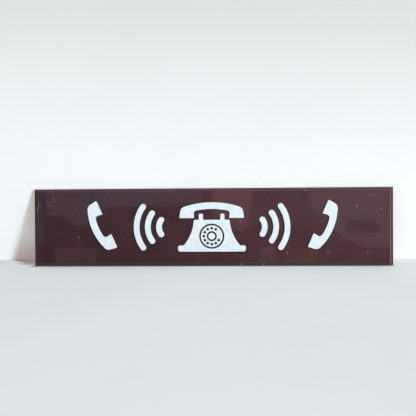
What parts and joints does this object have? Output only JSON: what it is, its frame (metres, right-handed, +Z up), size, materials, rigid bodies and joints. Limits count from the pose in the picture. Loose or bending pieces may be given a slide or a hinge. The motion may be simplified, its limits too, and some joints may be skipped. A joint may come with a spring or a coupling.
{
  "type": "telephone sign",
  "caption": "Long flat acrylic sign plate with a bevelled face and a row of raised white telephone symbols bonded to it; fixed to a wall by its flat back.",
  "frame": {"origin": "centre of the plate's flat back face", "axes": "+X along the sign's length, to the right as seen from the front; +Z up; +Y out of the flat back, into the wall, so that the face looks towards -Y"},
  "size_m": [0.7, 0.011, 0.151],
  "materials": {
    "burgundy_acrylic": "high gloss, with fine scuffs and a few specks",
    "white_acrylic": "satin to gloss, with square cut edges"
  },
  "bodies": {
    "root": {"plate": "burgundy_acrylic", "telephone_body": "white_acrylic", "telephone_receiver": "white_acrylic", "dial_ring": "white_acrylic", "dial_hub": "white_acrylic", "receiver_left": "white_acrylic", "receiver_right": "white_acrylic", "wave_left_1": "white_acrylic", "wave_left_2": "white_acrylic", "wave_left_3": "white_acrylic", "wave_right_1": "white_acrylic", "wave_right_2": "white_acrylic", "wave_right_3": "white_acrylic"}
  },
  "joints": []
}
